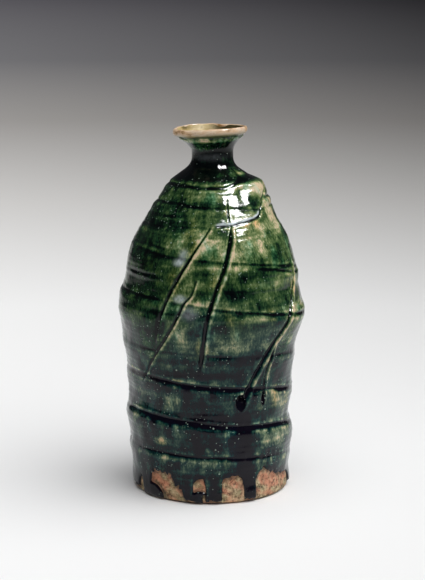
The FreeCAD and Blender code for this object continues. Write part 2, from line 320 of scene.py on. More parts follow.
def throwing_marks():
    """The spiral groove with its ledge below, the slow swell between its turns, and the short rings."""
    turn, height, depth = np.array(SPIRAL, float).T
    fine = np.arange(turn[0], turn[-1], 4)
    track = np.interp(fine, turn, height)
    kernel = np.hanning(13) / np.hanning(13).sum()
    track = np.convolve(np.pad(track, 6, mode="edge"), kernel, mode="valid")
    marks = np.zeros(PHI.shape)
    swell = np.zeros(PHI.shape)
    lined = np.zeros(PHI.shape)
    pale_crests_and_highlights = np.zeros(PHI.shape)
    for k in range(8):
        line = np.interp(PHI + 360 * k, fine, track)
        deep = np.interp(PHI + 360 * k, turn, depth, left=0, right=0)
        below = np.interp(PHI + 360 * (k + 1), fine, track)
        drop = line - Z
        deep = deep * np.clip(0.9 + 0.2 * ripple(PHI, Z * 0, 26, 40 + k), 0.6, 1.2)
        width = np.where(drop < 0, 0.9, 2.6 + 0.8 * smooth(0.6, 1.4, deep))
        groove = deep * bell(drop, width)
        marks -= 0.55 * groove
        spread = np.where(drop < 0.2, 0.6, 0.7 + 1.0 * smooth(0.9, 1.5, deep))
        lined += deep * np.exp(-np.abs((drop - 0.2) / spread) ** 2.5)
        pale_crests_and_highlights += deep * (bell(drop - 3.4, 0.8) + 1.2 * bell(drop + 1.4, 0.5))
        share = drop / np.maximum(line - below, 4)
        swell += np.where((drop >= 0) & (Z > below), (0.3 + deep) * 1.15 * (0.5 - share), 0)
    marks += blurred(swell, 2.0 / STEP, 0)
    for deep, stations in RINGS:
        angles = [s[0] for s in stations]
        line = np.interp(PHI, angles, [s[1] for s in stations])
        fade = 1.0
        if angles[0] > -179:
            fade = smooth(angles[0], angles[0] + 12, PHI)
        if angles[-1] < 179:
            fade = fade * (1 - smooth(angles[-1] - 10, angles[-1], PHI))
        drop = line - Z
        fade = fade * (0.8 + 0.3 * ripple(PHI, Z * 0, 24, 60 + len(stations)))
        groove = fade * deep * bell(drop, 0.85)
        marks += 0.3 * fade * deep * bell(drop - 2.4, 1.4) - 0.75 * groove
        lined += groove
        pale_crests_and_highlights += fade * deep * (0.6 * bell(drop - 1.8, 0.6) + bell(drop + 1.3, 0.5))
    return marks, lined, pale_crests_and_highlights


relief, lined, pale_crests_and_highlights = throwing_marks()
rings = ripple(PHI, Z, 150, 31, 16, 0.02)
relief += 0.06 * rings * smooth(10, 30, Z) * (1 - smooth(196, 205, Z))
relief += 0.30 * ripple(PHI, Z, 40, 1) * smooth(0, 20, Z) * (1 - smooth(190, 205, Z))
relief += 0.10 * ripple(PHI, Z, 12, 2, 20) * smooth(0, 20, Z) * (1 - smooth(200, 215, Z))
for angle, height, half_w, half_h, amount in LUMPS:
    relief += amount * np.exp(spot(angle, height, half_w, half_h) - 1)
lap_reach = smooth(36, 72, PHI) * (1 - smooth(108, 136, PHI))
relief += lap_reach * along(LAP_SWELL, Z)

pool = np.zeros(PHI.shape)
thin = np.zeros(PHI.shape)
scored = np.zeros(PHI.shape)
pale_edges_and_highlights = np.zeros(PHI.shape)
for number, (deep, full_half, burr, taper, stations) in enumerate(SCORES):
    gap, place = to_line(stations)
    flared = 1 + 0.45 * (number == GOUGED_LINE) * smooth(0.75, 1, place)
    half = full_half * (0.4 + 0.6 * smooth(0, taper, place)) * flared
    hold = smooth(0, 0.04, place + 0.02) * (1 - 0.8 * smooth(0.9, 1.0, place))
    bed = np.exp(-((np.abs(gap) / half) ** 4)) * hold
    near = bell(gap, 2.4 * half) * hold
    relief -= relief * 0.4 * near + bed * deep * (0.85 + 0.15 * np.cos(place * 31 + number))
    lip_wave = 0.7 + 0.3 * np.sin(place * 37 + number) * np.cos(place * 91)
    edge = bell(gap - half - 0.75 * full_half, 0.7 * full_half) * hold * lip_wave
    relief += burr * edge
    scored = np.maximum(scored, bed)
    thin = np.maximum(thin, edge * (burr > 0))
    pale_edges_and_highlights = np.maximum(pale_edges_and_highlights, bell(gap + half + 0.45, 0.4) * hold * lip_wave)
# The lap's lower edge stands proud of the wall below it.
step_gap, step_place = to_line(SCORES[LAP_LINE][4])
step_on = np.where(step_gap < 0, 1, 0) * smooth(0.0, 0.1, step_place) * (1 - step_place)
step_on = step_on * np.exp(-np.abs(step_gap) / 5)
relief += blurred(1.7 * step_on, 0.7 / STEP, 0)
for angle, height, half_w, half_h, deep in GOUGES:
    inside = spot(angle, height, half_w, half_h) + 0.12 * ripple(PHI, Z, 4, 71, 16)
    dent = smooth(-0.05, 0.4, inside) * (0.5 + 0.45 * (Z - height) / half_h)
    relief += 0.25 * bell(inside + 0.35, 0.3) - deep * dent
    pool = np.maximum(pool, smooth(-0.05, 0.1, inside))
    # Painted highlight on each gouge's lower left rim.
    lower_left = (PHI < angle + 2) * (Z < height + 2)
    pale_edges_and_highlights = np.maximum(pale_edges_and_highlights, 0.8 * bell(inside + 0.25, 0.16) * lower_left)

# How far inside the glaze's edge each cell lies, in mm.
field = Z - np.maximum(along(HEM, PHI), 1.3) + 0.55 * ripple(PHI, Z, 3, 5, 40)
for angle, height, half_w, half_h, sign in PUDDLES:
    pooled = 3 * spot(angle, height, half_w, half_h)
    field = np.maximum(field, pooled) if sign > 0 else np.minimum(field, -pooled)
field = np.minimum(field, GLAZE_TOP - 0.4 + 0.4 * ripple(PHI, Z * 0, 20, 6) - Z)
covered = blurred(smooth(-0.6, 0.6, field), 0.8, 1)
glaze = 0.9 * (2 * covered - 1) * (1 - 0.45 * smooth(206, 216, Z))
glaze += 0.5 * bell(Z - 4, 4) * smooth(0.6, 1.0, covered)
relief_glazed = relief + glaze

# Glaze gathers in hollows and slips off ridges, and what gathers runs on down the wall.
hollow = blurred(blurred(relief_glazed, 2.4 / STEP, 0), 4, 1) - relief_glazed
runs = np.clip(hollow, 0, 1.2)
streak = ripple(PHI, Z, 5, 8, 30, stretch=9)
flow = np.zeros(PHI.shape)
for shift in range(1, 26):
    flow += np.roll(runs, -shift, axis=0) * np.exp(-shift / 9)
flow = flow / 9 * (0.75 + 0.6 * streak)
low = 1 - smooth(84, 128, Z)
broken = 0.75 + 0.35 * ripple(PHI, Z, 9, 14, 20)
bands = ripple(PHI, Z, 110, 32, 18, 0.045)
tone = 0.525 + 0.10 * low + 0.45 * np.clip(hollow, 0, 0.8) + 0.4 * np.clip(hollow, -0.5, 0) * broken
tone += (0.34 + 0.10 * low) * lined * (0.85 + 0.3 * ripple(PHI, Z * 0, 16, 34, 20))
tone += 0.20 * np.clip(flow, 0, 1)
tone += 0.03 * streak + 0.05 * ripple(PHI, Z, 18, 9) + 0.05 * rings + 0.07 * bands
# Pale lines along the groove edges: partly glaze thinned on the crests, partly painted highlight.
tone -= 0.20 * np.clip(pale_crests_and_highlights, 0, 1.6) * np.clip(0.6 + 0.6 * ripple(PHI, Z * 0, 5, 33, 30), 0, 1.5)
# Painted shade: the left side, away from the key lamp, is darkened.
tone += 0.08 * smooth(10, 60, -PHI) * (1 - smooth(60, 120, -PHI))
# Paler and darker patches, among them the painted sheen and painted shade named at the table.
for angle, height, half_w, half_h, amount in PATCHES:
    paling_streaks = (0.95 + 0.16 * streak) * (1 + 0.25 * low) if amount > 0 else 1
    outwards = np.clip(1 - spot(angle, height, half_w, half_h), 0, 40)
    tone -= amount * np.exp(-(outwards**1.3)) * paling_streaks
# The neck is nearly black but for painted light, in green, on its right; its flare is banded black, green
# and pale, the pale band under the dish being a painted reflection of the floor.
painted_neck_light = bell(PHI - 58, 26) * smooth(200.5, 203, Z) * (1 - smooth(211, 214, Z))
tone += (0.60 - 0.34 * painted_neck_light) * smooth(198, 201, Z) * (1 - smooth(215.5, 218, Z))
tone += 0.24 * smooth(216, 218, Z) * (1 - smooth(220.8, 222, Z)) + 0.45 * bell(Z - 222.3, 0.7)
tone -= 0.16 * smooth(222.6, 224, Z)
tone += 0.62 * bell(np.clip(field - 1.0, 0, 9), 3.6) * (1 - smooth(14, 24, Z))
tone = np.where(scored > 0.3, np.maximum(tone, 0.55 + 0.5 * scored), tone) + 0.9 * pool
# Paler on the burrs, where the glaze is thin, and along the pale edges, which on the gouges are painted
# highlight.
tone -= 0.55 * thin + 0.24 * pale_edges_and_highlights
tone += (0.05 + 0.03 * low) * ripple(PHI, Z, 9, 61, 30, 1.1) + 0.03 * ripple(PHI, Z, 5, 62, 40, 1.5)
tone = np.clip(blurred(tone, 0.8, 1), 0.0, 1.4)
# Painted reflections: the spots above, a pale band round the neck and a bright line along the lap's lower
# edge.
painted_reflection = np.zeros(PHI.shape)
for angle, height, half_w, half_h, amount in PAINTED_REFLECTION_SPOTS:
    outwards = np.clip(1 - spot(angle, height, half_w, half_h), 0, 40)
    painted_reflection += amount * np.exp(-(outwards**1.5)) * (1 - scored)
painted_reflection += 0.12 * bell(Z - 213.5, 1.8) * bell(PHI + 8, 40)
lap_part = smooth(0.3, 0.4, step_place) * (1 - smooth(0.9, 1, step_place))
painted_reflection += 2.2 * bell(step_gap + 1.2, 0.42) * lap_part
# Where bare clay is dark beside the glaze's edge, and where it has a pale crust.
glaze_rim = bell(field + 0.9, 0.9)
crust = np.clip(0.15 + 0.6 * (1 - smooth(5, 12, Z)) + 0.45 * ripple(PHI, Z, 9, 51, 24), 0, 1)

# ---------------------------------------------------------------- meshes


def sample(rows, phi, z):
    """A map's values at angles and heights, between its cells."""
    row = np.clip(z / STEP, 0, len(map_z) - 1.001)
    col = (turned_angle(phi) + 180) / 360 * COLUMNS
    r0 = row.astype(int)
    c0 = np.floor(col).astype(int)
    fr, fc = row - r0, col - c0
    c0, c1 = c0 % COLUMNS, (c0 + 1) % COLUMNS
    top = rows[r0, c0] * (1 - fc) + rows[r0, c1] * fc
    bottom = rows[r0 + 1, c0] * (1 - fc) + rows[r0 + 1, c1] * fc
    return top * (1 - fr) + bottom * fr


def leaned(r, phi, z):
    """Places in metres, with the neck a little off the axis and the mouth wide, tilted and wavy."""
    x = r * np.sin(np.radians(phi))
    y = -r * np.cos(np.radians(phi))
    up = smooth(206, 226, z)
    x = x * (1 + 0.035 * up) + np.interp(z, map_z, sway)
    tilt = np.sin(np.radians(phi)) + 0.5 * np.sin(np.radians(2 * phi))
    z = z + up * r * (0.035 * tilt + 0.007 * np.cos(np.radians(2 * phi + 20)))
    return np.stack([x, y, z], axis=-1) * MM


def placed(thing):
    bpy.context.scene.collection.objects.link(thing)
    return thing


def turned_piece(name, points, rows_wrap=True, poles=(None, None), values=None):
    """A closed mesh from a grid of places, with a centre point closing each end that isn't wrapped."""
    rows, cols = points.shape[:2]
    verts = points.reshape(-1, 3)
    i, j = np.meshgrid(np.arange(rows if rows_wrap else rows - 1), np.arange(cols), indexing="ij")
    nxt_i, nxt_j = (i + 1) % rows, (j + 1) % cols
    corners = [i * cols + j, i * cols + nxt_j, nxt_i * cols + nxt_j, nxt_i * cols + j]
    faces = np.stack(corners, axis=-1).reshape(-1, 4).tolist()
    extra = []
    ring = np.arange(cols)
    for end, pole in enumerate(poles):
        if pole is None:
            continue
        centre = len(verts) + len(extra)
        extra.append(pole)
        base = 0 if end == 0 else (rows - 1) * cols
        for a, b in zip(ring, (ring + 1) % cols):
            faces.append([base + b, base + a, centre] if end == 0 else [base + a, base + b, centre])
    if extra:
        verts = np.concatenate([verts, np.array(extra)])
    mesh = bpy.data.meshes.new(name)
    mesh.from_pydata(verts.tolist(), [], faces)
    mesh.validate()
    mesh.polygons.foreach_set("use_smooth", [True] * len(mesh.polygons))
    for key, value in (values or {}).items():
        layer = mesh.attributes.new(key, "FLOAT", "POINT")
        data = np.zeros(len(verts), np.float32)
        data[: value.size] = value.reshape(-1)
        layer.data.foreach_set("value", data)
    mesh.update()
    return placed(bpy.data.objects.new(name, mesh))


def grid(r_z, columns):
    """Angle, radius and height grids for an outline of (radius, height) points."""
    r, z = np.array(r_z, float).T
    phi = -180 + 360 * np.arange(columns) / columns
    return np.meshgrid(phi, r)[0], np.repeat(r[:, None], columns, 1), np.repeat(z[:, None], columns, 1)


# ---------------------------------------------------------------- materials


def new_material(name):
    material = bpy.data.materials.new(name)
    material.use_nodes = True
    nodes = material.node_tree.nodes
    return material, nodes, material.node_tree.links, nodes["Principled BSDF"]


def ramp(nodes, stops):
    node = nodes.new("ShaderNodeValToRGB")
    line = node.color_ramp
    while len(line.elements) < len(stops):
        line.elements.new(0.5)
    for element, (place, colour) in zip(line.elements, stops):
        element.position = place
        element.color = (*colour, 1) if len(colour) == 3 else colour
    return node


def noise(nodes, links, coords, scale, detail=3, stretch=(1, 1, 1), roughness=0.5):
    """A noise texture over the object's own coordinates, scaled in bumps per metre."""
    mapping = nodes.new("ShaderNodeMapping")
    mapping.inputs["Scale"].default_value = stretch
    links.new(coords, mapping.inputs["Vector"])
    node = nodes.new("ShaderNodeTexNoise")
    node.inputs["Scale"].default_value = scale
    node.inputs["Detail"].default_value = detail
    node.inputs["Roughness"].default_value = roughness
    links.new(mapping.outputs["Vector"], node.inputs["Vector"])
    return node.outputs["Fac"]


def math(nodes, links, operation, a, b=0.0, clamp=False):
    node = nodes.new("ShaderNodeMath")
    node.operation = operation
    node.use_clamp = clamp
    for socket, value in zip(node.inputs, (a, b)):
        if isinstance(value, (int, float)):
            socket.default_value = value
        else:
            links.new(value, socket)
    return node.outputs[0]


def mix(nodes, links, factor, a, b, blend="MIX"):
    node = nodes.new("ShaderNodeMix")
    node.data_type = "RGBA"
    node.blend_type = blend
    for socket, value in ((node.inputs[0], factor), (node.inputs[6], a), (node.inputs[7], b)):
        if isinstance(value, (int, float)):
            socket.default_value = value
        elif isinstance(value, tuple):
            socket.default_value = (*value, 1)
        else:
            links.new(value, socket)
    return node.outputs[2]


def attribute(nodes, name):
    node = nodes.new("ShaderNodeAttribute")
    node.attribute_name = name
    return node.outputs["Fac"]


def specks(nodes, links, coords, scale, size, rare, level):
    """Round specks, kept only where a slow noise is above a level."""
    cells = nodes.new("ShaderNodeTexVoronoi")
    cells.inputs["Scale"].default_value = scale
    links.new(coords, cells.inputs["Vector"])
    inside = math(nodes, links, "LESS_THAN", cells.outputs["Distance"], size)
    return math(nodes, links, "MULTIPLY", inside, math(nodes, links, "GREATER_THAN", rare, level))


def bump(nodes, links, height, distance, strength=1.0, under=None):
    node = nodes.new("ShaderNodeBump")
    node.inputs["Distance"].default_value = distance
    node.inputs["Strength"].default_value = strength
    links.new(height, node.inputs["Height"])
    if under is not None:
        links.new(under, node.inputs["Normal"])
    return node.outputs["Normal"]


def green_glaze_material():
    material, nodes, links, shader = new_material("copper_green_glaze")
    coords = nodes.new("ShaderNodeTexCoord").outputs["Object"]
    shade = attribute(nodes, "tone")
    for scale, detail, stretch, strength in (
        (520, 4, (1, 1, 0.22), 0.48), (120, 5, (1, 1, 0.8), 0.55), (900, 3, (1, 1, 0.5), 0.8),
        (330, 3, (0.12, 0.12, 1), 0.36),
    ):
        wander = noise(nodes, links, coords, scale, detail, stretch, 0.6)
        wander = math(nodes, links, "MULTIPLY", math(nodes, links, "SUBTRACT", wander, 0.5), strength)
        shade = math(nodes, links, "ADD", shade, wander)
    shade = math(nodes, links, "ADD", shade, 0.0, True)
    # From bare cream where the glaze ran off, through green, to nearly black where it pooled.
    warm = ramp(nodes, [
        (0.0, (0.66, 0.52, 0.34)),
        (0.07, (0.44, 0.41, 0.23)),
        (0.18, (0.25, 0.29, 0.13)),
        (0.31, (0.125, 0.18, 0.068)),
        (0.46, (0.045, 0.092, 0.028)),
        (0.62, (0.013, 0.042, 0.014)),
        (0.78, (0.003, 0.015, 0.007)),
        (0.95, (0.0005, 0.002, 0.002)),
    ])
    cold = ramp(nodes, [
        (0.0, (0.58, 0.47, 0.30)),
        (0.07, (0.38, 0.35, 0.21)),
        (0.18, (0.20, 0.24, 0.14)),
        (0.31, (0.095, 0.14, 0.085)),
        (0.46, (0.025, 0.060, 0.043)),
        (0.62, (0.003, 0.027, 0.026)),
        (0.78, (0.001, 0.007, 0.010)),
        (0.95, (0.003, 0.002, 0.006)),
    ])
    links.new(shade, warm.inputs[0])
    links.new(shade, cold.inputs[0])
    colour = mix(nodes, links, attribute(nodes, "cool"), warm.outputs[0], cold.outputs[0])
    brown = ramp(nodes, [(0.56, (1, 1, 1)), (0.72, (1.25, 0.95, 0.7))])
    links.new(noise(nodes, links, coords, 75, 4, (1, 1, 0.5)), brown.inputs[0])
    colour = mix(nodes, links, 1.0, colour, brown.outputs[0], "MULTIPLY")
    teal = ramp(nodes, [(0.54, (1, 1, 1)), (0.70, (0.65, 1.1, 1.3))])
    links.new(noise(nodes, links, coords, 110, 4, (1, 1, 0.4)), teal.inputs[0])
    colour = mix(nodes, links, 1.0, colour, teal.outputs[0], "MULTIPLY")
    # Painted reflections, laid over the glaze's colour in pale bluish white.
    reflection_edge = math(nodes, links, "MULTIPLY", noise(nodes, links, coords, 420, 4), 1.4)
    reflection_part = math(nodes, links, "MULTIPLY", attribute(nodes, "painted_reflection"), reflection_edge, True)
    colour = mix(nodes, links, reflection_part, colour, (0.74, 0.82, 0.86))
    # Pale specks: pinholes in the glaze, painted lighter as glints of light.
    rare = noise(nodes, links, coords, 70, 2)
    pinhole_glints = math(nodes, links, "ADD", specks(nodes, links, coords, 400, 0.13, rare, 0.48),
                 specks(nodes, links, coords, 150, 0.085, rare, 0.48), True)
    colour = mix(nodes, links, math(nodes, links, "MULTIPLY", pinhole_glints, 0.5), colour, (0.40, 0.52, 0.42))
    links.new(colour, shader.inputs["Base Color"])
    mottle = noise(nodes, links, coords, 120, 5, (1, 1, 0.5), 0.6)
    uneven = math(nodes, links, "MULTIPLY", mottle, 0.12)
    links.new(math(nodes, links, "ADD", 0.05, uneven), shader.inputs["Roughness"])
    shader.inputs["IOR"].default_value = 1.32
    skin = bump(nodes, links, noise(nodes, links, coords, 150, 2, (1, 1, 0.8)), 0.0006, 0.5)
    skin = bump(nodes, links, noise(nodes, links, coords, 700, 3, (1, 1, 0.6), 0.6), 0.00014, 0.6, skin)
    links.new(bump(nodes, links, pinhole_glints, 0.0001, 0.6, skin), shader.inputs["Normal"])
    return material


def clay_material(name):
    material, nodes, links, shader = new_material(name)
    coords = nodes.new("ShaderNodeTexCoord").outputs["Object"]
    patches = noise(nodes, links, coords, 160, 4, (1, 1, 0.8), 0.6)
    grain = noise(nodes, links, coords, 1500, 4, roughness=0.7)
    grit = noise(nodes, links, coords, 300, 5, roughness=0.7)
    body = ramp(nodes, [
        (0.36, (0.66, 0.46, 0.27)),
        (0.46, (0.70, 0.33, 0.19)),
        (0.56, (0.60, 0.22, 0.12)),
        (0.68, (0.34, 0.11, 0.06)),
    ])
    links.new(patches, body.inputs[0])
    crusty = ramp(nodes, [
        (0.36, (0.04, 0.035, 0.02)),
        (0.44, (0.30, 0.24, 0.11)),
        (0.60, (0.66, 0.54, 0.32)),
    ])
    links.new(grit, crusty.inputs[0])
    edge = math(nodes, links, "MULTIPLY", math(nodes, links, "SUBTRACT", patches, 0.5), 3.0)
    part = math(nodes, links, "ADD", attribute(nodes, "crust"), edge, True)
    colour = mix(nodes, links, part, body.outputs[0], crusty.outputs[0])
    dirt = ramp(nodes, [(0.35, (0.10, 0.07, 0.05)), (0.43, (0.58, 0.50, 0.43)), (0.53, (0.93, 0.93, 0.93))])
    links.new(noise(nodes, links, coords, 420, 4, roughness=0.65), dirt.inputs[0])
    colour = mix(nodes, links, 0.9, colour, dirt.outputs[0], "MULTIPLY")
    rim_grit = math(nodes, links, "MULTIPLY", grit, 1.5)
    rim_part = math(nodes, links, "MULTIPLY", attribute(nodes, "rim"), rim_grit, True)
    links.new(mix(nodes, links, rim_part, colour, (0.05, 0.03, 0.02)), shader.inputs["Base Color"])
    shader.inputs["Roughness"].default_value = 0.75
    rough_skin = bump(nodes, links, grit, 0.0012, 1.0)
    links.new(bump(nodes, links, grain, 0.0003, 0.7, rough_skin), shader.inputs["Normal"])
    return material


def lip_material():
    material, nodes, links, shader = new_material("lip_and_neck_clay")
    coords = nodes.new("ShaderNodeTexCoord").outputs["Object"]
    patches = noise(nodes, links, coords, 130, 4, (1, 1, 1.6), 0.6)
    fine = noise(nodes, links, coords, 900, 3)
    body = ramp(nodes, [
        (0.32, (0.30, 0.16, 0.05)),
        (0.42, (0.66, 0.44, 0.26)),
        (0.58, (0.78, 0.62, 0.46)),
        (0.70, (0.60, 0.34, 0.20)),
    ])
    links.new(patches, body.inputs[0])
    wander = math(nodes, links, "MULTIPLY", math(nodes, links, "SUBTRACT", patches, 0.5), 0.9)
    # Darker and greener towards the lip's underside: partly the green glaze, partly painted shade.
    shade = math(nodes, links, "ADD", attribute(nodes, "under"), wander, True)
    green = ramp(nodes, [(0.0, (0.62, 0.44, 0.29)), (0.5, (0.30, 0.24, 0.11)), (1.0, (0.07, 0.09, 0.03))])
    links.new(shade, green.inputs[0])
    colour = mix(nodes, links, shade, body.outputs[0], green.outputs[0])
    links.new(colour, shader.inputs["Base Color"])
    shader.inputs["Roughness"].default_value = 0.34
    skin = bump(nodes, links, patches, 0.0008, 0.5)
    links.new(bump(nodes, links, fine, 0.0002, 0.5, skin), shader.inputs["Normal"])
    return material


def lining_material():
    material, nodes, links, shader = new_material("amber_lining_glaze")
    coords = nodes.new("ShaderNodeTexCoord").outputs["Object"]
    patches = noise(nodes, links, coords, 90, 4, roughness=0.6)
    body = ramp(nodes, [
        (0.32, (0.12, 0.09, 0.03)),
        (0.46, (0.38, 0.28, 0.10)),
        (0.62, (0.62, 0.50, 0.27)),
        (0.75, (0.22, 0.19, 0.07)),
    ])
    links.new(patches, body.inputs[0])
    # Painted shade towards the right of the mouth's inside.
    colour = mix(nodes, links, attribute(nodes, "painted_shade_side"), body.outputs[0], (0.035, 0.03, 0.012))
    links.new(colour, shader.inputs["Base Color"])
    shader.inputs["Roughness"].default_value = 0.5
    shader.inputs["Specular IOR Level"].default_value = 0.12
    links.new(bump(nodes, links, patches, 0.0005, 0.4), shader.inputs["Normal"])
    return material


# ---------------------------------------------------------------- pieces

WALL_COLUMNS = 540
ROW_STEP = 0.75
HIDDEN = 1.5  # how far clay under the glaze is kept below the glaze's own surface
BELLY_SEAM = (114.2, 114.8)
NECK_SEAM = (196.2, 196.8)
INSIDE_FLOOR = 7.5
LAP_ANGLES = (40, 132)
LAP_HEIGHTS = (181, 205)
soft_relief = blurred(blurred(relief, 2 / STEP, 0), 4, 1)


def wall_at(z):
    return np.interp(z, map_z, wall)


def clay_skin(phi, z):
    """Radius of the clay: the true surface where it is bare, and kept down under the glaze elsewhere."""
    bare = 1 - smooth(19, 24, z)
    hidden_depth = np.where(z > 200, 0.7, HIDDEN)
    true_skin = sample(relief, phi, z)
    kept_down = np.minimum(sample(soft_relief, phi, z), true_skin) - hidden_depth
    return wall_at(z) + true_skin * bare + kept_down * (1 - bare)


def heights(low, high, step):
    return np.linspace(low, high, int(np.ceil(abs(high - low) / step)) + 1)


def glaze_coat():
    out_z = heights(1.1, GLAZE_TOP + 0.9, ROW_STEP)
    back_z = np.linspace(GLAZE_TOP + 0.3, 1.8, 40)
    phi, _, z = grid([(0, h) for h in out_z], WALL_COLUMNS)
    outer = wall_at(z) + sample(relief_glazed, phi, z)
    phi_b, _, z_b = grid([(0, h) for h in back_z], WALL_COLUMNS)
    inner = wall_at(z_b) - np.interp(z_b, [0, 190, 206, 226], [4.2, 4.2, 2.2, 2.0])
    points = np.concatenate([leaned(outer, phi, z), leaned(inner, phi_b, z_b)])
    every_phi = np.concatenate([phi, phi_b])
    every_z = np.concatenate([z, z_b])
    cool = 1 - smooth(88, 140, every_z + 10 * ripple(every_phi, every_z, 40, 12))
    return turned_piece("green_glaze", points, values={
        "tone": sample(tone, every_phi, every_z), "cool": cool, "painted_reflection": sample(painted_reflection, every_phi, every_z)})


def lower_body():
    foot_r = wall_at(0.0) - 0.2
    under = [(r, 0.0) for r in np.linspace(1.0, foot_r - 1.2, 60)]
    seam = BELLY_SEAM[0]
    out_z = np.concatenate([heights(1.2, 24, 0.6), heights(25.5, seam, 1.5)])
    in_z = np.concatenate([heights(seam, 20, 3.0), np.array([17, 14, 12, 10.4, 9.2, 8.4, 7.9])])
    floor = [(r, INSIDE_FLOOR) for r in (34, 24, 12, 2)]
    inside = [(np.interp(h, map_z, inner_wall), h) for h in in_z]
    outline = under + [(0, h) for h in out_z] + inside + floor
    phi, r, z = grid(outline, WALL_COLUMNS)
    n_under, n_out = len(under), len(out_z)
    skin = slice(n_under, n_under + n_out)
    r[skin] = clay_skin(phi[skin], z[skin])
    flat = slice(0, n_under)
    x = r[flat] * np.sin(np.radians(phi[flat]))
    y = -r[flat] * np.cos(np.radians(phi[flat]))
    # The curved marks of the wire that cut the foot from the wheel.
    cut = 0.5 + 0.5 * np.sin(2 * np.pi * np.hypot(x - 46, y + 18) / 4.2 + 0.8 * np.sin(x / 9))
    z[flat] = 0.35 * cut * (1 - smooth(foot_r - 6, foot_r - 1.5, r[flat]))
    points = leaned(r, phi, z)
    centres = ((0, 0, z[0].mean() * MM), (0, 0, INSIDE_FLOOR * MM))
    # The marks of the wall's edge fade out under the foot.
    near_edge = smooth(foot_r - 12, foot_r - 2, r[flat])
    crusted = sample(crust, phi, z)
    crusted[flat] = 0.5 + (crusted[flat] - 0.5) * near_edge
    rimmed = sample(glaze_rim, phi, z)
    rimmed[flat] *= near_edge
    return turned_piece("lower_clay", points, rows_wrap=False, poles=centres, values={
        "crust": crusted, "rim": rimmed})


def upper_body():
    low = BELLY_SEAM[1]
    high = NECK_SEAM[0]
    out_z = heights(low, high, 1.5)
    in_z = heights(high, low, 3.0)
    outline = [(0, h) for h in out_z] + [(np.interp(h, map_z, inner_wall), h) for h in in_z]
    phi, r, z = grid(outline, WALL_COLUMNS)
    r[: len(out_z)] = clay_skin(phi[: len(out_z)], z[: len(out_z)])
    return turned_piece("upper_clay", leaned(r, phi, z))


def slip_ring(name, low, high):
    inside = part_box(name)[1].x / MM
    wall_thick = 5.6 if low < 150 else 6.0
    hole = inside - wall_thick
    outline = [(hole, low), (inside, low), (inside, high), (hole, high)]
    phi, r, z = grid(outline, 240)
    for row in (1, 2):
        r[row] = clay_skin(phi[row], z[row])
    return turned_piece(name + "_ring", leaned(r, phi, z))


def neck():
    out_z = heights(NECK_SEAM[1], 225.9, 0.7)
    lip = [
        (20.8, 226.9), (21.7, 227.4), (22.3, 228.3), (22.5, 229.2), (22.4, 230.1), (22.1, 230.9),
        (21.6, 231.35), (21.1, 231.5), (20.7, 231.35), (20.45, 231.0), (20.3, 230.5),
    ]
    dish = [
        (19.6, 228.9), (18.3, 227.2), (16.6, 225.5), (14.6, 224.3), (12.4, 223.4), (10.6, 222.6),
        (9.2, 222.0), (8.7, 221.2),
    ]
    throat = [(8.5, h) for h in np.linspace(220.5, 209.5, 8)]
    flare_r = [8.5, 11.0, 14.0, 17.5, 20.6]
    flare_z = [209.0, 204.5, 201.2, 198.6, NECK_SEAM[1]]
    flare = [(r, np.interp(r, flare_r, flare_z)) for r in np.linspace(8.6, 20.6, 10)]
    phi, r, z = grid([(0, h) for h in out_z] + lip + dish + throat + flare, 360)
    n = len(out_z)
    r[:n] = clay_skin(phi[:n], z[:n])
    # The lip's underside is darkened towards green: partly the green glaze reaching up onto it, partly
    # painted shade.
    under = np.zeros(r.shape)
    under[:n] = 1.0
    for k, share in enumerate([1.0, 0.8, 0.45, 0.15]):
        under[n + k] = share
    rolled = slice(n, n + len(lip))
    r[rolled] += 0.30 * ripple(phi[rolled], z[rolled] * 0, 26, 21)
    z[rolled] += 0.10 * ripple(phi[rolled], z[rolled] * 0, 20, 22) * smooth(226, 229, z[rolled])
    return turned_piece("neck_clay", leaned(r, phi, z), values={"under": under})


def lining():
    skin = [
        (8.6, 209.2), (8.6, 213), (8.6, 217), (8.7, 221.4), (9.7, 222.0), (11.3, 222.6),
        (13.5, 223.4), (15.8, 224.5), (17.8, 226.0), (19.2, 227.9), (20.0, 229.6), (20.5, 231.0),
    ]
    top = [
        (20.3, 231.15), (19.9, 230.6), (19.4, 229.5), (18.5, 228.0), (17.1, 226.4), (15.2, 225.1),
        (13.0, 224.1), (10.9, 223.3), (9.2, 222.7), (8.1, 221.8), (8.0, 217), (8.0, 213), (8.0, 209.2),
    ]
    phi, r, z = grid(skin + top, 240)
    # Painted shade: the right half of the mouth's inside, in the throat's shadow, is darkened.
    painted_shade_side = 0.85 * smooth(-4, 6, r * np.sin(np.radians(phi)))
    return turned_piece("mouth_lining", leaned(r, phi, z), values={"painted_shade_side": painted_shade_side})


